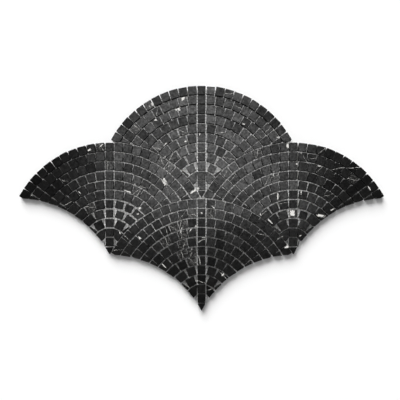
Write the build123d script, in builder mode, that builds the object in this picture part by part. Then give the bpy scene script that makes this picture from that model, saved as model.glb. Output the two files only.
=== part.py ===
"""Sheet of honed marble mosaic: square chips laid in arched courses that fill four scalloped fans.

One fan is laid course by course in its own frame, with the centre of its arcs at (0, 0) and its
crown towards +Y. The four fans of the sheet are copies of it, side by side on one mesh backing.
The size of a fan follows from its chips: so many courses of one chip and one joint each.
"""

import os
from math import acos, asin, atan, atan2, ceil, cos, degrees, floor, hypot, radians, sin, sqrt

from build123d import *

# Driving dimensions, in millimetres and degrees
CHIP = 15.0  # side of a square chip
CHIP_THICKNESS = 10.0
EDGE_EASE = 0.5  # chamfer round the honed face of a whole chip
COURSE_JOINT = 1.8  # joint between courses, and between one fan and the next
CHIP_GAP = 0.6  # gap between the inner corners of neighbouring chips of a course
FANNED_COURSES = 10  # courses that run round the centre of the fan's arcs
HEART_RADIUS = 14.0  # from that centre to the joint under the first of those courses
CROWN_SPREAD_DEG = 63.2  # the crown arc, from its middle to a side tip
STEEPEST_TURN_DEG = 45.0  # past this turn from chip to chip, a course is closed with cut chips
MESH_THICKNESS = 0.5
MESH_SETBACK = 2.0  # how far the mesh stops inside the outline of the fans

# The fan's outline: the crown arc and the two arcs cut into it by the fans of the next row down
COURSE_PITCH = CHIP + COURSE_JOINT
ARC_RADIUS = HEART_RADIUS + FANNED_COURSES * COURSE_PITCH
HALF_WIDTH = ARC_RADIUS * sin(radians(CROWN_SPREAD_DEG))
HALF_HEIGHT = ARC_RADIUS * (1 - cos(radians(CROWN_SPREAD_DEG)))
NEIGHBOUR_REACH = hypot(HALF_WIDTH, HALF_HEIGHT)
NEIGHBOUR_BEARING = atan2(HALF_WIDTH, -HALF_HEIGHT)

# Where the chips end: half a joint inside the crown arc and half a joint short of the neighbours
CUT_RADIUS = ARC_RADIUS + COURSE_JOINT / 2
CROWN_Y = ARC_RADIUS - COURSE_JOINT / 2
POINT_Y = sqrt(CUT_RADIUS**2 - HALF_WIDTH**2) - HALF_HEIGHT
LEAST_EDGE_RADIUS = max(POINT_Y, NEIGHBOUR_REACH - CUT_RADIUS)

# Courses are numbered outwards from the heart: 1 lies round it, and from 0 down they fill the neck
# below it, to the chip that fills the fan's point
NECK_TOP = HEART_RADIUS - COURSE_JOINT / 2
POINT_COURSE = floor((POINT_Y + COURSE_JOINT - NECK_TOP) / COURSE_PITCH) + 1
COURSES = range(POINT_COURSE, FANNED_COURSES + 1)
SPINE_SIDE = CHIP / 2 + CHIP_GAP

# The end chip of a course is sawn from a wider blank where a sliver would be left beside it
WIDE_CHIP = CHIP + CHIP_GAP + 2 * COURSE_JOINT

# The chips stand on the mesh
CHIP_BED = Plane.XY.offset(MESH_THICKNESS)

# The sheet's origin is the middle of its box: the top fan's crown to the bottom fan's point
MIDDLE_Y = (CROWN_Y + POINT_Y) / 2
FANS = {
    "top_fan": (0, HALF_HEIGHT - MIDDLE_Y),
    "left_fan": (-HALF_WIDTH, -MIDDLE_Y),
    "right_fan": (HALF_WIDTH, -MIDDLE_Y),
    "bottom_fan": (0, -HALF_HEIGHT - MIDDLE_Y),
}


def top_radius(number):
    """Radius of the upper side of a course, from the centre of the fan's arcs."""
    return NECK_TOP + number * COURSE_PITCH


def edge_bearing(radius):
    """Bearing from +Y, towards +X, at which a circle about the fan's centre meets the cut edge."""
    cosine = (NEIGHBOUR_REACH**2 + radius**2 - CUT_RADIUS**2) / (2 * NEIGHBOUR_REACH * radius)
    return NEIGHBOUR_BEARING - acos(cosine)


def edge_point(radius):
    """The point on the right-hand cut edge at that distance from the fan's centre."""
    bearing = edge_bearing(radius)
    return (radius * sin(bearing), radius * cos(bearing))


def on_course(bearing, radius):
    """Location on an arc, turned so that its own +Y points away from the fan's centre."""
    return Location((radius * sin(bearing), radius * cos(bearing)), -degrees(bearing))


def half_turn(width, inner_radius):
    """Angle from the middle of a chip to the middle of the gap beside its inner corner."""
    to_corner = atan(width / 2 / inner_radius)
    return to_corner + asin(CHIP_GAP / 2 / hypot(inner_radius, width / 2))


def chip_turn(inner_radius):
    """Angle from one square chip to the next, with their inner corners CHIP_GAP apart."""
    return 2 * half_turn(CHIP, inner_radius)


def fans_out(radius):
    """True for a course that is wide enough to be laid with square chips."""
    return radius > CHIP and degrees(chip_turn(radius - CHIP)) < STEEPEST_TURN_DEG


def passes_spine(radius):
    """True for a course that has room beside its middle chip."""
    return radius > LEAST_EDGE_RADIUS and edge_point(radius)[0] > SPINE_SIDE + COURSE_JOINT


def is_set(piece):
    """True for a chip whose mean width is more than a joint; a narrower one is a sliver."""
    longest_side = max(edge.length for edge in piece.edges())
    return piece.volume / CHIP_THICKNESS / longest_side > COURSE_JOINT


# Scalloped outline of one fan
with BuildSketch() as fan_outline:
    Circle(ARC_RADIUS)
    with Locations((-HALF_WIDTH, -HALF_HEIGHT), (HALF_WIDTH, -HALF_HEIGHT)):
        Circle(ARC_RADIUS, mode=Mode.SUBTRACT)

# Field that the chips are sawn to: its lower edges turn between courses and run straight across each
turning_radii = [top_radius(number) + COURSE_JOINT for number in reversed(COURSES)]
cut_edge = [edge_point(radius) for radius in turning_radii if radius > LEAST_EDGE_RADIUS]
field_corner = (cut_edge[0][0], CUT_RADIUS)
with BuildSketch() as field:
    with BuildLine():
        Polyline((0, CUT_RADIUS), field_corner, *cut_edge, (0, POINT_Y), close=True)
    make_face()
    mirror(about=Plane.YZ)

# The part of the field to the right of the spine, the middle column of chips
with BuildSketch() as right_field:
    add(field.sketch)
    with Locations((SPINE_SIDE, 0)):
        Rectangle(2 * HALF_WIDTH, 2 * CUT_RADIUS, align=(Align.MAX, Align.CENTER), mode=Mode.SUBTRACT)


def make_chip(width):
    """One chip of that width, eased round its honed face."""
    with BuildPart() as blank:
        with BuildSketch(CHIP_BED):
            Rectangle(width, CHIP)
        extrude(amount=CHIP_THICKNESS)
        chamfer(blank.faces().sort_by(Axis.Z)[-1].edges(), length=EDGE_EASE)
    return blank.part


chip = make_chip(CHIP)
wide_chip = make_chip(WIDE_CHIP)


def lay_chips(radius, each_side, end_bearings=()):
    """Whole chips on both sides of the spine, and wide ones at the ends, sawn to the field."""
    turn = chip_turn(radius - CHIP)
    middle = radius - CHIP / 2
    with BuildPart() as laid:
        with Locations(*[on_course(step * turn, middle) for step in range(-each_side, each_side + 1)]):
            add(chip)
        if end_bearings:
            with Locations(*[on_course(bearing, middle) for bearing in end_bearings]):
                add(wide_chip)
        with BuildSketch(CHIP_BED):
            add(field.sketch)
        extrude(amount=CHIP_THICKNESS, mode=Mode.INTERSECT)
    return laid.solids()


def lay_square_course(radius):
    """Square chips fanned out from the spine, sawn off where they cross the fan's edges."""
    return lay_chips(radius, ceil(edge_bearing(radius) / chip_turn(radius - CHIP)))


def lay_crown(radius):
    """The course of the crown, which ends in blunt tips: beyond the last chip, a sliver is left out."""
    return lay_square_course(radius).filter_by(is_set)


def lay_fanned_course(radius):
    """A course below the crown, closed at both ends with a wide chip where a sliver would be left."""
    course = lay_square_course(radius)
    set_chips = course.filter_by(is_set)
    if len(set_chips) == len(course):
        return course
    last_square = len(set_chips) // 2 - 1
    end = (last_square + 0.5) * chip_turn(radius - CHIP) + half_turn(WIDE_CHIP, radius - CHIP)
    return lay_chips(radius, last_square, (-end, end))


def lay_closed_course(radius):
    """A spine chip, with one cut chip on each side that fills the course out to the fan's edges."""
    with BuildPart() as laid:
        with Locations((0, radius - CHIP / 2)):
            add(chip)
        with BuildSketch(CHIP_BED):
            add(field.sketch)
        extrude(amount=CHIP_THICKNESS, mode=Mode.INTERSECT)
        if passes_spine(radius):
            with BuildSketch(CHIP_BED):
                Circle(radius)
                with Locations(on_course(radians(STEEPEST_TURN_DEG), radius - CHIP / 2)):
                    Rectangle(2 * CHIP, CHIP, mode=Mode.INTERSECT)
                add(right_field.sketch, mode=Mode.INTERSECT)
                mirror(about=Plane.YZ)
            extrude(amount=CHIP_THICKNESS)
    return laid.solids()


def lay_point(radius):
    """The cut chip that fills the fan's point."""
    with BuildPart() as laid:
        with BuildSketch(CHIP_BED):
            with Locations((0, radius)):
                Rectangle(2 * CHIP, 2 * CHIP, align=(Align.CENTER, Align.MAX))
            add(field.sketch, mode=Mode.INTERSECT)
        extrude(amount=CHIP_THICKNESS)
    return laid.solids()


def lay_course(number):
    """The chips of one course, in the fan's own frame."""
    radius = top_radius(number)
    if number == POINT_COURSE:
        return lay_point(radius)
    if number == FANNED_COURSES:
        return lay_crown(radius)
    if fans_out(radius):
        return lay_fanned_course(radius)
    return lay_closed_course(radius)


def course_name(number):
    """Name of one course, after its place in the fan."""
    if number == POINT_COURSE:
        return "point"
    if number < 1:
        return f"neck_{1 - number:02d}"
    return f"course_{number:02d}"


os.makedirs("parts", exist_ok=True)

# Chips, one course at a time, repeated in every fan
for number in COURSES:
    course = lay_course(number)
    for fan_name, centre in FANS.items():
        with BuildPart() as placed:
            with Locations(centre):
                add(course)
        placed.part.label = f"{fan_name}_{course_name(number)}"
        export_step(placed.part, f"parts/{placed.part.label}.step")

# Mesh that the chips are glued to, trimmed a little inside the outline of the four fans
with BuildPart() as mesh_backing:
    with BuildSketch():
        with Locations(*FANS.values()):
            add(fan_outline.sketch)
        offset(amount=-MESH_SETBACK)
    extrude(amount=MESH_THICKNESS)
mesh_backing.part.label = "mesh_backing"
export_step(mesh_backing.part, "parts/mesh_backing.step")
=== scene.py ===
# %% [markdown]
# # A fan mosaic sheet of honed black marble
# The sheet is some five hundred little squares of black marble, sawn, honed and glued on a glass-fibre
# net in arched courses. The courses fill four fans that overlap like fish scales.
# The CAD frame holds every chip at its real size. This lesson gives the chips their worn edges, their
# uneven laying and their stone, weaves the net below them, and lights the sheet for a view from above.

# %% Load the frame
import math

import bmesh
import bpy
import numpy as np
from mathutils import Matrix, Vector


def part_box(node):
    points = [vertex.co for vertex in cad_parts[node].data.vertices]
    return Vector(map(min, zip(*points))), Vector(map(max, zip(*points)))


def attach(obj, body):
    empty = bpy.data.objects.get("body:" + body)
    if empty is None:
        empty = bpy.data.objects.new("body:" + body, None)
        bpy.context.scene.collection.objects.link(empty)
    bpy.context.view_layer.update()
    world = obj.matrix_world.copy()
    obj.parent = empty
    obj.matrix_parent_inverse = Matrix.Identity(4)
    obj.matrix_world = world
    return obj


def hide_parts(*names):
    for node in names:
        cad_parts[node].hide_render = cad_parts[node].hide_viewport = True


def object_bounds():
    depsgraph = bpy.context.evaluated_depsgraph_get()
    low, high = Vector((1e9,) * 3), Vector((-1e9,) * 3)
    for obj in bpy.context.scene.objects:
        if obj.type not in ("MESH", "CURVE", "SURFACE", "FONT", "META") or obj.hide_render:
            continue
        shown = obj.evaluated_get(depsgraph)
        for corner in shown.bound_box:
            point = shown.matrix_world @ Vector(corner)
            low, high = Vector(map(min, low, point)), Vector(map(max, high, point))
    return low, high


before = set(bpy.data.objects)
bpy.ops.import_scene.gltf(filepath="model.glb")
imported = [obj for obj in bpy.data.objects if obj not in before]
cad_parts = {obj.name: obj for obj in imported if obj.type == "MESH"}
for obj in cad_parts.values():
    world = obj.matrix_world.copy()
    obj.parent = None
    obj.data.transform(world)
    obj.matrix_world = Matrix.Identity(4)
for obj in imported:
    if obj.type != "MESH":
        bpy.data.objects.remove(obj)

cad_low, cad_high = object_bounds()
MM = 0.001
print("sheet", [round(side / MM, 1) for side in cad_high - cad_low], "mm,", len(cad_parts), "nodes")

# %% [markdown]
# ## From the photo to the sheet
# The photo looks straight down on the sheet, so one scale and one point tie the two together. The sheet
# is 643 mm wide and spans 365 pixels, and the middle of its box lies close to the middle of the picture.
# Accents such as a white vein are placed by the pixel where they show, and this helper puts that pixel
# on the honed face.

# %% Tie photo pixels to the sheet
MM_PER_PIXEL = 1.762
SHEET_MIDDLE_PX = (201.5, 198.4)


def on_sheet(pixel_x, pixel_y):
    """The point of the sheet, in metres, that shows at a pixel of the photo."""
    x = (pixel_x - SHEET_MIDDLE_PX[0]) * MM_PER_PIXEL * MM
    y = (SHEET_MIDDLE_PX[1] - pixel_y) * MM_PER_PIXEL * MM
    return np.array([x, y])


print("top left pixel lies at", on_sheet(0, 0).round(3), "m")

# %% [markdown]
# ## Selecting as by hand
# Every chip is shaped in edit mode, where an operator acts on all that is selected. So the first helpers
# open one object alone in edit mode, and pick its points, edges or faces by a test on their place.

# %% Helpers for edit mode
SELECT_MODES = {"verts": "VERT", "edges": "EDGE", "faces": "FACE"}


def select_alone(piece):
    """Selects one object, alone, and makes it active."""
    bpy.ops.object.select_all(action="DESELECT")
    piece.select_set(True)
    bpy.context.view_layer.objects.active = piece


def open_for_edit(piece):
    """Opens one object, alone, in edit mode."""
    select_alone(piece)
    bpy.ops.object.mode_set(mode="EDIT")


def pick(kind, test):
    """Selects the verts, edges or faces of the open mesh that pass a test."""
    bpy.ops.mesh.select_mode(type=SELECT_MODES[kind])
    bpy.ops.mesh.select_all(action="DESELECT")
    mesh = bmesh.from_edit_mesh(bpy.context.edit_object.data)
    for element in getattr(mesh, kind):
        element.select_set(test(element))
    mesh.select_flush_mode()
    bmesh.update_edit_mesh(bpy.context.edit_object.data)


bpy.ops.object.select_all(action="DESELECT")
print("nothing is selected")

# %% [markdown]
# ## The sawn outline of every chip
# A chip starts as a sawn outline. The CAD course holds it already, as the flat underside of each chip,
# so a copy of the course is merged, its triangles are dissolved into whole faces, and all but the
# undersides are deleted. What is left is one flat polygon for each chip, in its true place.
# Drawing 488 outlines again would be slower, and they could drift from the frame.

# %% Copy the courses and keep the outlines
MERGE_DISTANCE = 0.001 * MM
FLAT_ANGLE = math.radians(1)
FACING_UP = 0.9
SHORTEST_SIDE = 0.7 * MM


def chip_outlines(node_name):
    """A new object with one flat polygon, facing up, for each chip of a CAD course."""
    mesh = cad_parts[node_name].data.copy()
    mesh.materials.clear()
    outlines = bpy.data.objects.new(f"{node_name}_chips", mesh)
    bpy.context.scene.collection.objects.link(outlines)
    open_for_edit(outlines)
    bpy.ops.mesh.select_all(action="SELECT")
    bpy.ops.mesh.remove_doubles(threshold=MERGE_DISTANCE)
    bpy.ops.mesh.dissolve_limited(angle_limit=FLAT_ANGLE)
    pick("faces", lambda face: face.normal.z > -FACING_UP)
    bpy.ops.mesh.delete(type="FACE")
    bpy.ops.mesh.select_all(action="SELECT")
    bpy.ops.mesh.dissolve_degenerate(threshold=SHORTEST_SIDE)
    bpy.ops.mesh.select_all(action="SELECT")
    bpy.ops.mesh.flip_normals()
    bpy.ops.object.mode_set(mode="OBJECT")
    return outlines


course_names = sorted(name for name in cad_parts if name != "mesh_backing")
courses = {name: chip_outlines(name) for name in course_names}
chip_total = sum(len(piece.data.polygons) for piece in courses.values())
print(len(courses), "courses,", chip_total, "chip outlines")

# %% [markdown]
# ## Worn corners and wavering sides
# Chips are tumbled and knocked about before they are laid, so their corners are rounded, a few of them
# much more than the rest, and no side is quite straight. A vertex bevel rounds the corners in the flat
# outline. The sides are then divided and every point is nudged at random, and flattened again.
# The same could be done with a bevel on the finished solid, but on a sawn chip with a short side such a
# bevel runs into itself.

# %% Round the corners and roughen the sides
corner_draw = np.random.default_rng(11)
CORNER_ROUND = 0.8 * MM
KNOCKED_ROUND = 1.7 * MM
KNOCKED_SHARE = 0.22
CORNER_SEGMENTS = 2
LEAST_SIDE_TO_ROUND = 4.2 * MM
SIDE_CUTS = 2
SIDE_WAVER = 0.22 * MM
bed_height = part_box(course_names[0])[0].z


def may_be_rounded(corner):
    """True for a corner between two sides that are long enough for the bevel."""
    return all(side.calc_length() > LEAST_SIDE_TO_ROUND for side in corner.link_edges)


def round_corners(size):
    """Rounds the selected corners of the open outlines."""
    bpy.ops.mesh.bevel(offset=size, segments=CORNER_SEGMENTS, affect="VERTICES", clamp_overlap=False)


def wear_outline(piece, seed):
    """Rounds the corners of every outline, divides its long sides and nudges its points."""
    open_for_edit(piece)
    pick("verts", lambda corner: may_be_rounded(corner) and corner_draw.random() < KNOCKED_SHARE)
    round_corners(KNOCKED_ROUND)
    pick("verts", may_be_rounded)
    round_corners(CORNER_ROUND)
    pick("edges", lambda side: side.calc_length() > LEAST_SIDE_TO_ROUND)
    bpy.ops.mesh.subdivide(number_cuts=SIDE_CUTS)
    bpy.ops.mesh.select_all(action="SELECT")
    bpy.ops.transform.vertex_random(offset=SIDE_WAVER, uniform=0, normal=0, seed=seed)
    bpy.ops.transform.resize(value=(1, 1, 0), center_override=(0, 0, bed_height))
    bpy.ops.object.mode_set(mode="OBJECT")


for seed, piece in enumerate(courses.values()):
    wear_outline(piece, seed)
points = sum(len(piece.data.vertices) for piece in courses.values())
print("outlines have", round(points / chip_total, 1), "points each, on", bed_height / MM, "mm")

# %% [markdown]
# ## From outline to chip
# A chip is a sawn block with a honed face and an eased arris round it. The outline is extruded to the
# foot of the arris, then inset twice, each time a little higher, which gives a rounded arris with two
# facets. Inset keeps the outline of a sawn corner, where a bevel of all top edges could cross itself.

# %% Pull the outlines up into chips
face_height = cad_high.z
ARRIS_STEPS = [(0.20 * MM, 0.32 * MM), (0.34 * MM, 0.16 * MM)]
arris_height = sum(rise for inset, rise in ARRIS_STEPS)
wall_height = face_height - bed_height - arris_height


def raise_chips(piece):
    """Extrudes every outline into a closed chip with an eased arris."""
    open_for_edit(piece)
    bpy.ops.mesh.select_all(action="SELECT")
    bpy.ops.mesh.extrude_region_move(TRANSFORM_OT_translate={"value": (0, 0, wall_height)})
    for inset, rise in ARRIS_STEPS:
        bpy.ops.mesh.inset(thickness=inset, depth=rise, use_individual=True)
    bpy.ops.mesh.select_all(action="SELECT")
    bpy.ops.mesh.normals_make_consistent(inside=False)
    bpy.ops.object.mode_set(mode="OBJECT")


for piece in courses.values():
    raise_chips(piece)
faces = sum(len(piece.data.polygons) for piece in courses.values())
print("chips have", round(faces / chip_total), "faces each,", faces, "in all")

# %% [markdown]
# ## One chip among many
# Each chip is a loose island of its course's mesh, and the islands are found by walking the edges. To
# name a chip by the pixel where it shows, its reach in two dozen directions is kept: a point lies inside
# the chip when it lies within that reach in every direction, as if a string were drawn round the chip.

# %% Find the chips
ROUND_ABOUT = np.linspace(0, 2 * math.pi, 24, endpoint=False)
DIRECTIONS = np.array([np.cos(ROUND_ABOUT), np.sin(ROUND_ABOUT)])


def islands(mesh):
    """The point numbers of every loose island of a mesh."""
    neighbours = [[] for _ in mesh.vertices]
    for edge in mesh.edges:
        start, end = edge.vertices
        neighbours[start].append(end)
        neighbours[end].append(start)
    unseen = set(range(len(mesh.vertices)))
    found = []
    while unseen:
        waiting = [unseen.pop()]
        island = list(waiting)
        while waiting:
            for other in neighbours[waiting.pop()]:
                if other in unseen:
                    unseen.remove(other)
                    waiting.append(other)
                    island.append(other)
        found.append(np.array(sorted(island)))
    return sorted(found, key=lambda island: island[0])


def read_points(mesh):
    """The points of a mesh as rows of x, y and z."""
    values = np.empty(len(mesh.vertices) * 3)
    mesh.vertices.foreach_get("co", values)
    return values.reshape(-1, 3)


def shortfall(chip, pixel):
    """How far a pixel of the photo lies outside a chip; negative inside it."""
    return (on_sheet(*pixel) @ DIRECTIONS - chip["reach"]).max()


def chip_at(pixel):
    """The chip that shows at a pixel of the photo, or the nearest one."""
    return min(chips, key=lambda chip: shortfall(chip, pixel))


chips = []
for name, piece in courses.items():
    points = read_points(piece.data)
    for island in islands(piece.data):
        reach = (points[island, :2] @ DIRECTIONS).max(axis=0)
        chips.append({"course": name, "points": island, "reach": reach})
print(len(chips), "chips found")

# %% [markdown]
# ## Nipped to size
# No five hundred chips are sawn alike: each one is a little large or small, and many are nipped to a
# slight taper, which closes the wedge to their neighbour. A few that stand in wide pale joints in the
# photo are nipped smaller. Scaling chip after chip in edit mode would do it, but not five hundred times,
# so every chip draws its size from one seeded stream. The taper widens a chip away from the centre of
# its fan.

# %% Choose sizes and tapers
lay_draw = np.random.default_rng(23)
CHIP_SIZES = (0.985, 1.02)
SMALL_CHIP_SIZES = (0.93, 0.97)
SMALL_CHIP_SHARE = 0.15
NIPPED_CHIPS_PX = [(121, 204), (130, 207), (138, 214), (120, 213), (129, 218), (111, 214), (174, 166),
                   (183, 172), (224, 163), (230, 170), (213, 170), (192, 166), (292, 213), (308, 214)]
NIPPED_SIZE = 0.88
CROWN_RADIUS = 181.1 * MM
TAPERED_SHARE = 0.75
LEAST_TAPER, MOST_TAPER = 0.4, 0.9


def chip_size():
    """The size of one chip against a whole one; now and then a chip is clearly small."""
    sizes = SMALL_CHIP_SIZES if lay_draw.random() < SMALL_CHIP_SHARE else CHIP_SIZES
    return lay_draw.uniform(*sizes)


def fan_centre(course_name):
    """The centre of the arcs of a course's fan, below the middle of its crown."""
    crown_low, crown_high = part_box(course_name.split("_fan_")[0] + "_fan_course_10")
    return np.array([(crown_low.x + crown_high.x) / 2, crown_high.y - CROWN_RADIUS])


def taper_chip(points, centre):
    """The points of one chip after it is nipped to widen away from the centre of its fan."""
    middle = points.mean(axis=0)[:2]
    reach = np.linalg.norm(middle - centre)
    outwards = (middle - centre) / reach
    aside = np.array([-outwards[1], outwards[0]])
    away = points[:, :2] - middle
    share = lay_draw.uniform(LEAST_TAPER, MOST_TAPER) if lay_draw.random() < TAPERED_SHARE else 0
    widened = np.maximum(away @ outwards, 0) / reach * (away @ aside) * share
    tapered = points.copy()
    tapered[:, :2] += widened[:, None] * aside
    return tapered


for chip in chips:
    chip["size"] = chip_size()
for pixel in NIPPED_CHIPS_PX:
    chip_at(pixel)["size"] = NIPPED_SIZE
print("chips are", round(np.mean([chip["size"] for chip in chips]), 3), "of their full size on average")

# %% [markdown]
# ## Laid by hand
# The chips aren't laid alike either: each one is turned, shifted, tilted or sunk a little. A Displace
# modifier would bend the chips instead of moving them whole, so the points of each chip are moved about
# its own middle. The chips of the spine, the straight middle column of a fan, are narrower, so that two
# pale joints run down beside them. The drifts come from the same stream as the sizes, and stay smaller
# than the joints.

# %% Turn each chip a little
SPINE_CHIP_WIDTH = 0.92
TURN_SPREAD = math.radians(1.1)
SHIFT_SPREAD = 0.14 * MM
TILT_SPREAD = math.radians(0.22)
SINK_SPREAD = 0.12 * MM


def drift(spread):
    """One random drift with that spread, held to twice its size."""
    return float(np.clip(lay_draw.normal(0, spread), -2 * spread, 2 * spread))


def lay_chip(points, size, width):
    """The points of one chip after it is resized, turned, shifted, tilted and sunk a little."""
    middle = points.mean(axis=0)
    turn = drift(TURN_SPREAD)
    x, y = (points - middle)[:, :2].T * size
    x = x * width
    laid = points.copy()
    laid[:, 0] = middle[0] + x * math.cos(turn) - y * math.sin(turn) + drift(SHIFT_SPREAD)
    laid[:, 1] = middle[1] + x * math.sin(turn) + y * math.cos(turn) + drift(SHIFT_SPREAD)
    share_up = (points[:, 2] - bed_height) / (face_height - bed_height)
    lean = x * drift(TILT_SPREAD) + y * drift(TILT_SPREAD)
    laid[:, 2] += share_up * (lean - abs(drift(SINK_SPREAD)) - np.abs(lean).max())
    return laid


for name, piece in courses.items():
    points = read_points(piece.data)
    centre = fan_centre(name)
    for chip in (chip for chip in chips if chip["course"] == name):
        own = points[chip["points"]]
        if "_course_" in name:
            own = taper_chip(own, centre)
        on_spine = abs(own[:, 0].mean() - centre[0]) < MM
        own = lay_chip(own, chip["size"], SPINE_CHIP_WIDTH if on_spine else 1.0)
        points[chip["points"]] = own
        chip["middle"] = own.mean(axis=0)
    piece.data.vertices.foreach_set("co", points.ravel())
    piece.data.update()
print(len(chips), "chips laid")

# %% [markdown]
# ## What each chip brings from the slab
# The chips are sawn from different places of the quarry blocks and mixed, so tone and veins jump from
# chip to chip. Each chip gets its own piece of slab: a set of coordinates, turned and shifted at random,
# for the stone patterns to read instead of the object's own. It also gets a tone, and some chips get
# veins: one or two healed cracks that cross it. A crack is a straight line, kept as the distance of
# every point from it, and the material lets it wander. A threshold of one noise would also draw veins,
# but as closed loops. Chips that catch the eye in the photo are named by the pixel where they show, and
# those that are crazed all over get a pale crackle too.

# %% Choose tones and veins
stone_draw = np.random.default_rng(37)
PALE_CHIPS_PX = [(147, 113), (193, 107), (190, 213), (194, 210), (221, 211), (305, 145), (212, 117),
                 (184, 152), (223, 160), (120, 158), (162, 170), (297, 164), (236, 118), (226, 130)]
CRAZED_CHIPS_PX = [(110, 163), (181, 243), (187, 250), (183, 259), (191, 262), (167, 238), (213, 209),
                   (101, 146), (277, 174), (152, 104), (164, 145), (90, 208), (134, 131), (178, 226),
                   (186, 229), (170, 157), (255, 158), (350, 176), (196, 218), (185, 221), (165, 160),
                   (171, 163)]
DARK_CHIPS_PX = [(203, 89), (203, 117), (211, 127), (200, 105), (221, 89), (275, 128), (262, 113),
                 (128, 120), (60, 160), (40, 178), (236, 233), (222, 248), (181, 267), (214, 263)]
PALE_TONE = 0.95
DARK_TONE = 0.0
MEAN_TONE, TONE_SPREAD, MOST_TONE = 0.40, 0.17, 0.9
SLAB_REACH = 2.0
VEINED_SHARE = 0.07
SINGLE_SHARE = 0.8
CRACK_SPREAD = math.radians(20)
CRACK_OFFSET_MM = 5
NO_CRACK = 9.0

for chip in chips:
    chip["tone"] = float(np.clip(stone_draw.normal(MEAN_TONE, TONE_SPREAD), 0.0, MOST_TONE))
    chip["cracks"] = 0
    chip["crazed"] = 0.0
    if stone_draw.random() < VEINED_SHARE:
        chip["cracks"] = 1 if stone_draw.random() < SINGLE_SHARE else 2
    chip["slab_turn"] = stone_draw.uniform(0, 2 * math.pi)
    chip["slab_place"] = stone_draw.uniform(-SLAB_REACH, SLAB_REACH, 3)
for pixel in PALE_CHIPS_PX:
    chip_at(pixel)["tone"] = PALE_TONE
for pixel in DARK_CHIPS_PX:
    chip_at(pixel)["tone"] = DARK_TONE
for pixel in CRAZED_CHIPS_PX:
    chip_at(pixel)["cracks"] = 1
    chip_at(pixel)["crazed"] = 1.0


def crack_distances(points, chip):
    """The distance in millimetres of the points of a chip from each of its cracks."""
    distances = np.full((len(points), 3), NO_CRACK)
    away = points[:, :2] - chip["middle"][:2]
    main_turn = stone_draw.uniform(0, 2 * math.pi)
    for number in range(chip["cracks"]):
        turn = main_turn + stone_draw.normal(0, CRACK_SPREAD)
        offset = stone_draw.uniform(-CRACK_OFFSET_MM, CRACK_OFFSET_MM)
        distances[:, number] = away @ np.array([math.cos(turn), math.sin(turn)]) / MM - offset
    return distances


print(sum(chip["cracks"] > 0 for chip in chips), "chips have veins")

# %% [markdown]
# ## White calcite
# Here and there a patch or a streak of pure white calcite crosses a chip. Each is listed: the
# pixel where it shows, its half length and half width in millimetres, and its turn. Every chip that it
# touches gets a field that is 1 on the rim of that box, and the material frays the rim with noise.
# Painting the patches into an image would tie the stone to one picture.

# %% Place the white patches
CALCITE = [
    # pixel x, pixel y, half length, half width, turn in degrees
    (183.2, 98.2, 3.6, 2.2, 40),
    (177.6, 109.0, 4.2, 2.4, -10),
    (152.4, 104.6, 3.2, 1.0, -50),
    (155.5, 120.0, 1.9, 1.3, 0),
    (165.0, 144.5, 3.6, 0.8, 40),
    (184.5, 135.0, 4.0, 0.8, 12),
    (199.6, 134.0, 2.4, 0.9, 90),
    (185.5, 141.4, 1.3, 1.0, 0),
    (255.0, 137.0, 6.0, 0.6, -43),
    (278.2, 137.2, 1.8, 1.2, 20),
    (227.8, 140.0, 1.5, 0.9, 0),
    (243.8, 124.1, 2.0, 0.8, -20),
    (164.4, 181.6, 6.0, 3.0, -62),
    (164.4, 157.4, 2.4, 1.0, 30),
    (171.0, 162.6, 3.0, 0.7, -35),
    (129.0, 191.8, 7.0, 0.8, -18),
    (134.7, 185.3, 2.6, 0.6, 80),
    (101.4, 145.4, 3.6, 0.8, 45),
    (89.2, 150.0, 2.8, 1.4, 30),
    (66.9, 196.0, 1.9, 1.3, -20),
    (79.6, 192.6, 3.4, 0.6, -45),
    (119.8, 232.2, 3.2, 1.0, 105),
    (139.6, 237.9, 2.4, 1.3, -40),
    (137.6, 214.0, 2.4, 0.8, 10),
    (138.2, 209.2, 5.0, 2.4, 35),
    (123.6, 210.2, 1.8, 1.0, 40),
    (320.6, 166.0, 3.2, 0.8, 0),
    (297.2, 164.0, 2.2, 1.0, -10),
    (292.2, 213.0, 3.8, 5.0, 0),
    (320.8, 215.6, 5.6, 2.0, -12),
    (319.6, 211.0, 2.4, 1.2, 80),
    (287.8, 246.6, 5.2, 1.7, 12),
    (300.4, 235.7, 2.2, 0.6, 20),
    (280.2, 237.8, 5.2, 0.7, 32),
    (195.8, 228.4, 5.0, 1.9, 75),
    (190.8, 229.6, 2.6, 0.8, 60),
    (181.2, 230.0, 5.0, 0.7, 70),
    (203.6, 237.2, 1.9, 0.7, 0),
    (222.8, 274.8, 2.6, 1.1, 45),
    (163.6, 265.4, 5.0, 0.6, -45),
    (213.6, 207.6, 4.0, 0.6, -45),
    (201.6, 213.0, 1.2, 1.0, 0),
    (206.8, 297.0, 1.2, 0.9, 0),
    (31.6, 195.0, 2.4, 0.9, 0),
    (194.8, 190.4, 8.2, 1.7, 31),
    (277.8, 195.2, 8.0, 0.9, 90),
    (301.2, 191.6, 3.8, 0.8, 90),
    (273.6, 174.0, 3.4, 0.6, 80),
    (287.9, 145.4, 4.4, 2.0, 80),
    (369.4, 188.4, 3.8, 0.9, -60),
    (269.6, 220.8, 5.6, 0.9, -45),
    (260.4, 214.6, 1.7, 1.0, 60),
    (332.4, 209.6, 2.8, 0.9, 30),
]
NO_CALCITE = 9.0
TOUCHING_SHARE = 0.6


def calcite_field(points, pixel_x, pixel_y, half_length, half_width, turn):
    """Coordinates that measure 1 on the rim of a patch, for the points of its chip."""
    across = points[:, :2] - on_sheet(pixel_x, pixel_y)
    turn = math.radians(turn)
    along = np.array([math.cos(turn), math.sin(turn)])
    aside = np.array([-math.sin(turn), math.cos(turn)])
    field = np.zeros((len(points), 3))
    field[:, 0] = across @ along / (half_length * MM)
    field[:, 1] = across @ aside / (half_width * MM)
    return field


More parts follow.
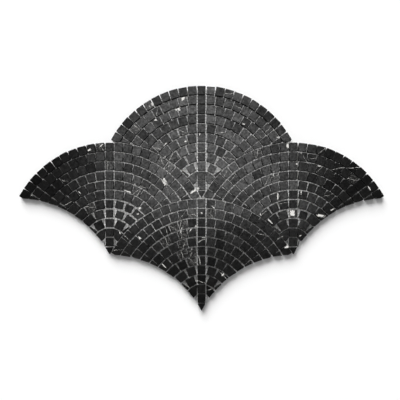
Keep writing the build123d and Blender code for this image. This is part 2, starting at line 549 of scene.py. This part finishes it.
def patch_gap(chip, patch):
    """How far a chip lies outside the reach of a patch, in metres; negative where it is touched."""
    return shortfall(chip, patch[:2]) - TOUCHING_SHARE * patch[2] * MM


for chip in chips:
    nearest = min(CALCITE, key=lambda patch: patch_gap(chip, patch))
    if patch_gap(chip, nearest) < 0:
        chip["patch"] = nearest
print(sum("patch" in chip for chip in chips), "chips have a white patch")

# %% [markdown]
# ## Writing it on the meshes
# Tone, veins, slab coordinates and calcite become point attributes of the meshes, where a material can
# read them. One more says where the stone is honed: 1 on the face, 0 on the sawn walls, and between the
# two across the arris.

# %% Store the attributes
HONED_FROM = 0.05 * MM
HONED_SPAN = 0.3 * MM


def slab_coordinates(points, chip):
    """The points of a chip in the slab that it was sawn from."""
    turn = chip["slab_turn"]
    away = points - chip["middle"]
    slab = away.copy()
    slab[:, 0] = away[:, 0] * math.cos(turn) - away[:, 1] * math.sin(turn)
    slab[:, 1] = away[:, 0] * math.sin(turn) + away[:, 1] * math.cos(turn)
    return slab + chip["slab_place"]


def store(mesh, name, kind, values):
    """Writes one value for each point as an attribute of the mesh."""
    layer = mesh.attributes.new(name, kind, "POINT")
    field = "vector" if kind == "FLOAT_VECTOR" else "value"
    layer.data.foreach_set(field, np.asarray(values, np.float32).ravel())


def store_stone(name, mesh):
    """Stores what the chips of one course bring from the slab."""
    points = read_points(mesh)
    count = len(points)
    slab, calcite = np.zeros((count, 3)), np.full((count, 3), NO_CALCITE)
    cracks = np.full((count, 3), NO_CRACK)
    tone, crazed, honed = np.zeros(count), np.zeros(count), np.zeros(count)
    for chip in (chip for chip in chips if chip["course"] == name):
        own = chip["points"]
        slab[own] = slab_coordinates(points[own], chip)
        cracks[own] = crack_distances(points[own], chip)
        tone[own], crazed[own] = chip["tone"], chip["crazed"]
        if "patch" in chip:
            calcite[own] = calcite_field(points[own], *chip["patch"])
        foot = points[own, 2].max() - arris_height
        honed[own] = np.clip((points[own, 2] - foot - HONED_FROM) / HONED_SPAN, 0, 1)
    store(mesh, "slab", "FLOAT_VECTOR", slab)
    store(mesh, "calcite", "FLOAT_VECTOR", calcite)
    store(mesh, "cracks", "FLOAT_VECTOR", cracks)
    store(mesh, "tone", "FLOAT", tone)
    store(mesh, "crazed", "FLOAT", crazed)
    store(mesh, "honed", "FLOAT", honed)


for name, piece in courses.items():
    store_stone(name, piece.data)
print("attributes:", [layer.name for layer in courses[course_names[0]].data.attributes])

# %% [markdown]
# ## A small kit for materials
# A procedural material is a net of nodes. These helpers add a node, set its inputs and join sockets, so
# that the stone below reads as a list of what the eye sees.

# %% Helpers for nodes
def start_material(name):
    """A new material with an empty node tree, its tree and its Principled shader."""
    material = bpy.data.materials.new(name)
    material.use_nodes = True
    tree = material.node_tree
    tree.nodes.clear()
    shader = tree.nodes.new("ShaderNodeBsdfPrincipled")
    output = tree.nodes.new("ShaderNodeOutputMaterial")
    tree.links.new(shader.outputs["BSDF"], output.inputs["Surface"])
    return material, tree, shader


def plug(tree, socket, value):
    """Links an output to a socket, or sets the socket to a plain value."""
    if isinstance(value, bpy.types.NodeSocket):
        tree.links.new(value, socket)
    else:
        socket.default_value = value


def attribute(tree, name, output):
    """One output of a named attribute."""
    node = tree.nodes.new("ShaderNodeAttribute")
    node.attribute_name = name
    return node.outputs[output]


def noise(tree, vector, scale, detail, roughness=0.55, output="Fac"):
    """A noise texture on a vector."""
    node = tree.nodes.new("ShaderNodeTexNoise")
    plug(tree, node.inputs["Vector"], vector)
    node.inputs["Scale"].default_value = scale
    node.inputs["Detail"].default_value = detail
    node.inputs["Roughness"].default_value = roughness
    return node.outputs[output]


def math_node(tree, operation, *values):
    """The result of a Math node."""
    node = tree.nodes.new("ShaderNodeMath")
    node.operation = operation
    for socket, value in zip(node.inputs, values):
        plug(tree, socket, value)
    return node.outputs[0]


def vector_node(tree, operation, *values, output="Vector"):
    """The result of a Vector Math node."""
    node = tree.nodes.new("ShaderNodeVectorMath")
    node.operation = operation
    for socket, value in zip(node.inputs, values):
        plug(tree, socket, value)
    return node.outputs[output]


def fade(tree, value, start, end, low=0.0, high=1.0):
    """A value mapped smoothly from one range to another."""
    node = tree.nodes.new("ShaderNodeMapRange")
    node.interpolation_type = "SMOOTHSTEP"
    for socket, given in zip(node.inputs, (value, start, end, low, high)):
        plug(tree, socket, given)
    return node.outputs[0]


def blend(tree, share, first, second):
    """Two colours mixed by a share."""
    node = tree.nodes.new("ShaderNodeMix")
    node.data_type = "RGBA"
    plug(tree, node.inputs[0], share)
    plug(tree, node.inputs[6], first)
    plug(tree, node.inputs[7], second)
    return node.outputs[2]


def add_bump(tree, shader, height, strength, distance):
    """Bumps the surface of a shader by a height."""
    bump = tree.nodes.new("ShaderNodeBump")
    bump.inputs["Strength"].default_value = strength
    bump.inputs["Distance"].default_value = distance
    plug(tree, bump.inputs["Height"], height)
    plug(tree, shader.inputs["Normal"], bump.outputs["Normal"])


print("node helpers ready")

# %% [markdown]
# ## White in the stone
# Three things whiten the black stone: veins of calcite in healed cracks, patches and streaks of pure
# calcite, and a faint crackle on the crazed chips. The distance from a crack is bent by noise, and where
# it is nearly zero the stone is white. The rim of a patch is frayed in the same way. A Wave texture would
# draw veins too, but evenly spaced ones, and alike on every chip.

# %% Draw veins, patches and crackle
FINEST_HALF_WIDTH_MM, VEIN_HALF_WIDTH_MM = 0.05, 0.42
VEIN_WANDER_MM = 5.0
FRAY_REACH = 3.4


def jitter(tree, vector, reach, **settings):
    """A noise of vectors about zero, times a reach along x, y and z."""
    swing = noise(tree, vector, output="Color", **settings)
    swing = vector_node(tree, "SUBTRACT", swing, (0.5, 0.5, 0.5))
    return vector_node(tree, "MULTIPLY", swing, reach)


def plain_sizes(tree, vector):
    """The x and the y of a vector, without their signs."""
    parts = tree.nodes.new("ShaderNodeSeparateXYZ")
    plug(tree, parts.inputs[0], vector_node(tree, "ABSOLUTE", vector))
    return parts.outputs["X"], parts.outputs["Y"]


def calcite_veins(tree, slab):
    """Veins along the cracks of a chip, which wander, swell and thin out."""
    wander = jitter(tree, slab, (VEIN_WANDER_MM,) * 3, scale=130, detail=3, roughness=0.6)
    off_cracks = vector_node(tree, "ADD", attribute(tree, "cracks", "Vector"), wander)
    nearest = math_node(tree, "MINIMUM", *plain_sizes(tree, off_cracks))
    swell = noise(tree, slab, scale=240, detail=2)
    half_width = fade(tree, swell, start=0.35, end=0.65, low=FINEST_HALF_WIDTH_MM, high=VEIN_HALF_WIDTH_MM)
    return fade(tree, math_node(tree, "DIVIDE", nearest, half_width), start=1.0, end=0.6)


def calcite_patches(tree, slab):
    """The white patches of a chip, with a frayed rim."""
    fray = jitter(tree, slab, (FRAY_REACH, FRAY_REACH, 0.0), scale=380, detail=4, roughness=0.7)
    frayed = vector_node(tree, "ADD", attribute(tree, "calcite", "Vector"), fray)
    off_patch = math_node(tree, "MAXIMUM", *plain_sizes(tree, frayed))
    return fade(tree, off_patch, start=1.15, end=0.85)


def pale_crackle(tree, slab):
    """A crackle all over the crazed chips."""
    crackle = fade(tree, noise(tree, slab, scale=340, detail=4, roughness=0.6), start=0.46, end=0.70)
    return math_node(tree, "MULTIPLY", crackle, attribute(tree, "crazed", "Fac"))


print("veins are up to", 2 * VEIN_HALF_WIDTH_MM, "mm wide")

# %% [markdown]
# ## Black marble
# The stone is a warm black limestone, marbled with grey clouds, speckles and fine pale grains. Honing
# leaves a dull sheen that differs from chip to chip and from speckle to speckle. All of these are noise
# in the slab coordinates, because an image of marble would have to be fitted to every chip. The sawn
# walls are greyer, rougher and streaked by the blade.

# %% Make the black marble
DEEP_BLACK = (0.0018, 0.0018, 0.0018, 1)
CHARCOAL = (0.0070, 0.0069, 0.0067, 1)
CALCITE_WHITE = (0.74, 0.73, 0.70, 1)
SAWN_GREY = (0.045, 0.045, 0.045, 1)
CLOUD_SHARE, GRAIN_SHARE = 0.75, 0.30
VEIN_PALENESS = 0.75
CRACKLE_PALENESS = 0.14
SAW_STREAKS = (1, 1, 9)
SAWN_SHARE = 0.6
SAWN_ROUGHNESS = 0.8


def black_marble():
    """Honed black marble that reads the chips' own attributes."""
    material, tree, shader = start_material("black_marble")
    slab = attribute(tree, "slab", "Vector")
    tone = attribute(tree, "tone", "Fac")
    clouds = noise(tree, slab, scale=110, detail=5, roughness=0.6)
    grains = noise(tree, slab, scale=900, detail=3, roughness=0.7)
    speckles = noise(tree, slab, scale=280, detail=4, roughness=0.65)
    mottle = math_node(tree, "ADD", math_node(tree, "MULTIPLY", clouds, CLOUD_SHARE), tone)
    mottle = math_node(tree, "ADD", mottle, math_node(tree, "MULTIPLY", grains, GRAIN_SHARE))
    stone = blend(tree, fade(tree, mottle, start=0.40, end=1.35), DEEP_BLACK, CHARCOAL)

    veins = math_node(tree, "MULTIPLY", calcite_veins(tree, slab), VEIN_PALENESS)
    crackle = math_node(tree, "MULTIPLY", pale_crackle(tree, slab), CRACKLE_PALENESS)
    white = math_node(tree, "MAXIMUM", veins, calcite_patches(tree, slab))
    white = math_node(tree, "MAXIMUM", crackle, white)
    stone = blend(tree, white, stone, CALCITE_WHITE)

    honed = attribute(tree, "honed", "Fac")
    saw_marks = noise(tree, vector_node(tree, "MULTIPLY", slab, SAW_STREAKS), scale=260, detail=3)
    sawn = blend(tree, math_node(tree, "MULTIPLY", saw_marks, SAWN_SHARE), stone, SAWN_GREY)
    plug(tree, shader.inputs["Base Color"], blend(tree, honed, sawn, stone))

    dullness = fade(tree, mottle, start=0.50, end=1.35, low=0.21, high=0.15)
    roughness = fade(tree, honed, start=0.0, end=1.0, low=SAWN_ROUGHNESS, high=dullness)
    plug(tree, shader.inputs["Roughness"], roughness)
    sheen = math_node(tree, "MULTIPLY", fade(tree, mottle, start=0.50, end=1.35, low=0.38, high=0.82),
                      fade(tree, speckles, start=0.36, end=0.64, low=0.50, high=1.50))
    plug(tree, shader.inputs["Specular IOR Level"], sheen)
    add_bump(tree, shader, grains, strength=0.25, distance=0.05 * MM)
    return material


marble = black_marble()
print("black marble has", len(marble.node_tree.nodes), "nodes")

# %% [markdown]
# ## Stone on the chips
# The walls and the arris of a chip turn softly into each other, and the honed face is flat. So a chip is
# shaded smooth, and the rim of its face is marked sharp, which keeps the face an even mirror. With this
# the dressed courses are done, and each takes the place of its CAD node.

# %% Put the stone on the chips
SMOOTH_ARRIS = math.radians(50)
HONED_FACE_NORMAL = 0.98


def shade_chips(piece):
    """Shades the walls and the arris smooth, with the honed face kept flat."""
    select_alone(piece)
    bpy.ops.object.shade_smooth_by_angle(angle=SMOOTH_ARRIS)
    open_for_edit(piece)
    pick("faces", lambda face: face.normal.z > HONED_FACE_NORMAL)
    bpy.ops.mesh.region_to_loop()
    bpy.ops.mesh.mark_sharp()
    bpy.ops.object.mode_set(mode="OBJECT")


for name, piece in courses.items():
    piece.data.materials.append(marble)
    shade_chips(piece)
    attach(piece, "root")
    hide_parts(name)
print("black marble on", len(courses), "courses")

# %% [markdown]
# ## One yarn of the net
# The chips are glued on a glass-fibre net, an open weave of flat yarns five millimetres apart. One yarn is
# a long flat ribbon, divided along its length, with its points raised and lowered in turn where it crosses
# the others. A curve with a round bevel would be quicker to make, but glass yarn is flat.

# %% Make one yarn
YARN_PITCH = 5.0 * MM
YARN_WIDTH = 1.1 * MM
WEAVE_RISE = 0.11 * MM
net_low, net_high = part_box("mesh_backing")
net_middle = (net_low.z + net_high.z) / 2


def wave_side(distance):
    """1 or -1 where a yarn passes to one or the other side of those it crosses, and 0 in between."""
    return round(math.sin(math.pi * distance / YARN_PITCH))


def add_yarn(along, aside, first_up):
    """One ribbon of yarn along an axis, at the low side of the net, waved over its crossings."""
    pitches = math.ceil((net_high[along] - net_low[along]) / YARN_PITCH / 2) * 2
    length = pitches * YARN_PITCH
    size, place = [0, 0, 1], [0, 0, net_middle]
    size[along], size[aside] = length, YARN_WIDTH
    place[aside] = net_low[aside] + (YARN_PITCH / 2 if first_up else YARN_PITCH * 1.5)
    bpy.ops.object.select_all(action="DESELECT")
    bpy.ops.mesh.primitive_plane_add(size=1, location=place)
    yarn = bpy.context.object
    yarn.scale = size
    bpy.ops.object.transform_apply(location=True, rotation=False, scale=True)
    open_for_edit(yarn)
    pick("edges", lambda edge: edge.calc_length() > 2 * YARN_WIDTH)
    bpy.ops.mesh.subdivide(number_cuts=2 * pitches - 1)
    turn_over = 1 if first_up else -1
    for side in (1, -1):
        pick("verts", lambda vert: wave_side(vert.co[along]) == side * turn_over)
        bpy.ops.transform.translate(value=(0, 0, side * WEAVE_RISE))
    bpy.ops.object.mode_set(mode="OBJECT")
    return yarn


print("the middle of the net lies at", round(net_middle / MM, 2), "mm")

# %% [markdown]
# ## The net below
# The net holds the sheet together and shows as pale threads in the joints. Two neighbouring yarns, which
# wave against each other, are joined, and an Array repeats the pair. The parts outside the CAD outline are
# deleted, and Solidify gives the ribbons their thickness. A Wireframe modifier on a grid would also give
# a net, but one without a weave.

# %% Weave the net
YARN_THICKNESS = 0.18 * MM
SMOOTH_YARN = math.radians(40)
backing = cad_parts["mesh_backing"]


def apply_modifier(piece, kind, **settings):
    """Adds one modifier to the active piece and applies it."""
    modifier = piece.modifiers.new(kind.lower(), kind)
    for name, value in settings.items():
        setattr(modifier, name, value)
    bpy.ops.object.modifier_apply(modifier=modifier.name)


def inside_backing(x, y):
    """True where the CAD backing lies below a point."""
    above = Vector((x, y, net_high.z + MM))
    return backing.ray_cast(above, Vector((0, 0, -1)), distance=2 * MM)[0]


def weave(name, along, aside):
    """All yarns of one direction, trimmed to the backing's outline."""
    yarns = [add_yarn(along, aside, first_up) for first_up in (True, False)]
    for yarn in yarns:
        yarn.select_set(True)
    bpy.context.view_layer.objects.active = yarns[0]
    bpy.ops.object.join()
    net = bpy.context.object
    net.name = net.data.name = name
    pairs = math.floor((net_high[aside] - net_low[aside]) / YARN_PITCH / 2)
    step = [0, 0, 0]
    step[aside] = 2 * YARN_PITCH
    apply_modifier(net, "ARRAY", count=pairs, use_relative_offset=False, use_constant_offset=True,
                   constant_offset_displace=step)
    open_for_edit(net)
    pick("faces", lambda face: not all(inside_backing(*vert.co.xy) for vert in face.verts))
    bpy.ops.mesh.delete(type="FACE")
    bpy.ops.object.mode_set(mode="OBJECT")
    apply_modifier(net, "SOLIDIFY", thickness=YARN_THICKNESS, offset=0)
    bpy.ops.object.shade_smooth_by_angle(angle=SMOOTH_YARN)
    return net


warp = weave("net_warp", 1, 0)
weft = weave("net_weft", 0, 1)
print("net has", len(warp.data.polygons), "and", len(weft.data.polygons), "faces")

# %% [markdown]
# ## Glass-fibre yarn
# Glass yarn is a bundle of fine bright filaments with a dull coating, and it lets much light through. The
# filaments run along the yarn, so the colour is a noise that is stretched along it, and the same noise
# drives a little bump.

# %% Make the yarn's finish
YARN_WHITE = (0.78, 0.78, 0.75, 1)
YARN_SHADE = (0.55, 0.55, 0.51, 1)
YARN_ROUGHNESS = 0.55
YARN_CLEARNESS = 0.75
FILAMENT_STRETCH = 0.05


def glass_yarn(name, stretch):
    """Coated glass-fibre yarn with filaments along one axis."""
    material, tree, shader = start_material(name)
    place = tree.nodes.new("ShaderNodeTexCoord").outputs["Object"]
    filaments = noise(tree, vector_node(tree, "MULTIPLY", place, stretch), scale=4000, detail=2)
    plug(tree, shader.inputs["Base Color"], blend(tree, filaments, YARN_SHADE, YARN_WHITE))
    shader.inputs["Roughness"].default_value = YARN_ROUGHNESS
    shader.inputs["Transmission Weight"].default_value = YARN_CLEARNESS
    add_bump(tree, shader, filaments, strength=0.3, distance=0.03 * MM)
    return material


warp.data.materials.append(glass_yarn("glass_yarn_warp", stretch=(1, FILAMENT_STRETCH, 1)))
weft.data.materials.append(glass_yarn("glass_yarn_weft", stretch=(FILAMENT_STRETCH, 1, 1)))
for net in (warp, weft):
    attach(net, "root")
    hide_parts("mesh_backing")
print("net rides with the sheet")

# %% [markdown]
# ## White paint and a painted glow
# The sheet lies on a white floor, which catches the shadow as plain paint does, and a paper of the same
# outline lies under it. No light gets down the narrow joints, so the paper carries painted light: for the
# camera its paint glows a little, as on a light table, and shows pale between the chips. The joints are
# palest in the upper middle, and darken towards the lower edges and both ends; the glow is painted darker
# there too, as painted shade. A lamp below the sheet would do the same, but would also light the floor
# around it.

# %% Mix the white paint and the painted glow
WHITE_PAINT = (0.93, 0.93, 0.93, 1)
PAINT_ROUGHNESS = 0.9
# Painted shade: these dim the paper's glow towards the lower edges and both ends.
LOW_SLOPE = (0.2, -0.98, 0.0)
LOW_FROM, LOW_TO = 0.010, 0.090
END_FROM, END_TO = 0.14, 0.27
GLOW_MIDDLE_X = 0.02


def white_paint_with_painted_glow(name, glow, low_share, end_share):
    """White paint with a painted glow for the rays that show it, in painted shade at the lower edges and
    ends.
    """
    material, tree, shader = start_material(name)
    shader.inputs["Base Color"].default_value = WHITE_PAINT
    shader.inputs["Roughness"].default_value = PAINT_ROUGHNESS
    shader.inputs["Specular IOR Level"].default_value = 0.0
    shader.inputs["Emission Color"].default_value = (1, 1, 1, 1)
    path = tree.nodes.new("ShaderNodeLightPath")
    shown = math_node(tree, "MAXIMUM", path.outputs["Is Camera Ray"], path.outputs["Is Glossy Ray"])
    shown = math_node(tree, "MAXIMUM", shown, path.outputs["Is Transmission Ray"])
    place = tree.nodes.new("ShaderNodeTexCoord").outputs["Object"]
    downwards = vector_node(tree, "DOT_PRODUCT", place, LOW_SLOPE, output="Value")
    sideways = tree.nodes.new("ShaderNodeSeparateXYZ")
    plug(tree, sideways.inputs[0], place)
    sideways = math_node(tree, "ABSOLUTE", math_node(tree, "SUBTRACT", sideways.outputs["X"], GLOW_MIDDLE_X))
    # The glow is painted light, and its fade towards the lower edges and ends is painted shade.
    light = math_node(tree, "MULTIPLY", fade(tree, downwards, LOW_FROM, LOW_TO, glow, glow * low_share),
                      fade(tree, sideways, END_FROM, END_TO, 1.0, end_share))
    plug(tree, shader.inputs["Emission Strength"], math_node(tree, "MULTIPLY", shown, light))
    return material


floor_paint = white_paint_with_painted_glow("white_floor", glow=0.02, low_share=1.0, end_share=1.0)
# The paper's glow is painted light in the joints, with painted shade at the lower edges and ends.
paper_painted_glow = white_paint_with_painted_glow("paper_with_painted_glow", glow=0.31, low_share=0.18, end_share=0.35)
print("paints:", floor_paint.name, "and", paper_painted_glow.name)

# %% [markdown]
# ## The floor and the paper
# The floor is one large plane, a hair below the sheet. The paper has the outline of the net, so it is
# the upper side of a copy of the CAD backing, lowered to just above the floor. Neither is a part of the
# sheet: they are the stage on which it is shown.

# %% Lay the floor and the paper
FLOOR_SIZE = 12.0
PAPER_GAP = 0.03 * MM
FLOOR_GAP = 0.10 * MM
bpy.ops.object.select_all(action="DESELECT")
bpy.ops.mesh.primitive_plane_add(size=FLOOR_SIZE, location=(0, 0, cad_low.z - FLOOR_GAP))
floor = bpy.context.object
floor.name = "floor"
floor.data.materials.append(floor_paint)

paper = bpy.data.objects.new("paper", backing.data.copy())
bpy.context.scene.collection.objects.link(paper)
open_for_edit(paper)
bpy.ops.mesh.select_all(action="SELECT")
bpy.ops.mesh.remove_doubles(threshold=MERGE_DISTANCE)
pick("faces", lambda face: face.normal.z < FACING_UP)
bpy.ops.mesh.delete(type="FACE")
bpy.ops.mesh.select_all(action="SELECT")
bpy.ops.transform.translate(value=(0, 0, cad_low.z - PAPER_GAP - net_high.z))
bpy.ops.object.mode_set(mode="OBJECT")
paper.data.materials.clear()
# The paper carries the painted glow and its painted shade.
paper.data.materials.append(paper_painted_glow)
print("floor at", round(floor.location.z / MM, 2), "mm")

# %% [markdown]
# ## Lamps
# The photo has soft studio light: the honed faces shine a little in the upper middle and darken to both
# ends, and a short soft shadow falls below and a little to the right. A tall and a wide softbox hang
# where the honed faces mirror them to the camera: the sheen ends where their images end. A sun with a
# wide disc shines from above the picture's top edge, a little to the left, and lights the floor evenly out
# to the horizon. It is kept out of reflections, because from the front its glare would hide the stone.

# %% Hang the lamps
SOFTBOX_HEIGHT = 2.5


def add_sun(name, towards, strength, disc_deg):
    """A sun that shines from a direction, with a disc of that width in degrees."""
    bpy.ops.object.select_all(action="DESELECT")
    bpy.ops.object.light_add(type="SUN", location=Vector(towards))
    sun = bpy.context.object
    sun.name = name
    sun.rotation_euler = Vector(towards).to_track_quat("Z", "Y").to_euler()
    sun.data.energy = strength
    sun.data.angle = math.radians(disc_deg)
    sun.visible_glossy = False


def add_softbox(name, y, width, depth, power):
    """A softbox, an even rectangle of light over the sheet's middle line that faces straight down."""
    bpy.ops.object.select_all(action="DESELECT")
    bpy.ops.object.light_add(type="AREA", location=(0.0, y, SOFTBOX_HEIGHT))
    lamp = bpy.context.object
    lamp.name = name
    lamp.data.shape = "RECTANGLE"
    lamp.data.size = width
    lamp.data.size_y = depth
    lamp.data.energy = power


add_sun("soft_sun", towards=(-0.40, 1.24, 0.92), strength=4.35, disc_deg=45)
add_softbox("tall_softbox", y=0.485, width=0.66, depth=0.95, power=3.1)
add_softbox("wide_softbox", y=0.245, width=1.12, depth=0.47, power=2.2)

# %% [markdown]
# ## Sky
# A studio's white walls light the sheet from all sides. The sky stands for them: a pale ring softens the
# shadow, it is dark overhead so that the stone stays black, and plain white where the camera sees it. An
# image of a studio would do as well, but a fade by height needs no file.

# %% Paint the sky
SKY_HORIZON = (1, 1, 1, 1)
SKY_RING = (0.27, 0.27, 0.27, 1)
SKY_OVERHEAD = (0.05, 0.05, 0.05, 1)
RING_FROM, RING_TO = 0.02, 0.2
OVERHEAD_FROM, OVERHEAD_TO = 0.70, 0.93
world = bpy.data.worlds.new("studio")
bpy.context.scene.world = world
world.use_nodes = True
sky = world.node_tree
background = sky.nodes["Background"]
direction = sky.nodes.new("ShaderNodeTexCoord").outputs["Generated"]
height = sky.nodes.new("ShaderNodeSeparateXYZ")
plug(sky, height.inputs[0], direction)
low_sky = blend(sky, fade(sky, height.outputs["Z"], RING_FROM, RING_TO), SKY_HORIZON, SKY_RING)
overhead = fade(sky, height.outputs["Z"], OVERHEAD_FROM, OVERHEAD_TO)
whole_sky = blend(sky, overhead, low_sky, SKY_OVERHEAD)
seen = sky.nodes.new("ShaderNodeLightPath").outputs["Is Camera Ray"]
plug(sky, background.inputs["Color"], blend(sky, seen, whole_sky, SKY_HORIZON))
background.inputs["Strength"].default_value = 1.0
print("sky has", len(sky.nodes), "nodes")

# %% [markdown]
# ## Camera
# The photo is taken from straight above, from a little over a metre. The joints tell where the camera
# hung: over the lower fan they show the paper, and towards the top edge and both ends the walls of the
# chips hide it. So the camera hangs a little below the middle of the picture, and a small lens shift
# frames the sheet.

# %% Hang the camera
PICTURE_PX = 400
BELOW_CAMERA_PX = (200, 228)
CAMERA_ABOVE_FACE = 1.20
SENSOR_WIDTH_MM = 36.0
bpy.ops.object.select_all(action="DESELECT")
below_camera = on_sheet(*BELOW_CAMERA_PX)
bpy.ops.object.camera_add(location=(*below_camera, face_height + CAMERA_ABOVE_FACE), rotation=(0, 0, 0))
camera = bpy.context.object
camera.data.shift_y = (BELOW_CAMERA_PX[1] - PICTURE_PX / 2) / PICTURE_PX
camera.data.sensor_width = SENSOR_WIDTH_MM
picture_width = PICTURE_PX * MM_PER_PIXEL * MM
camera.data.lens = SENSOR_WIDTH_MM * CAMERA_ABOVE_FACE / picture_width
bpy.context.scene.camera = camera
bpy.context.scene.view_settings.view_transform = "Standard"
print("lens", round(camera.data.lens, 1), "mm")
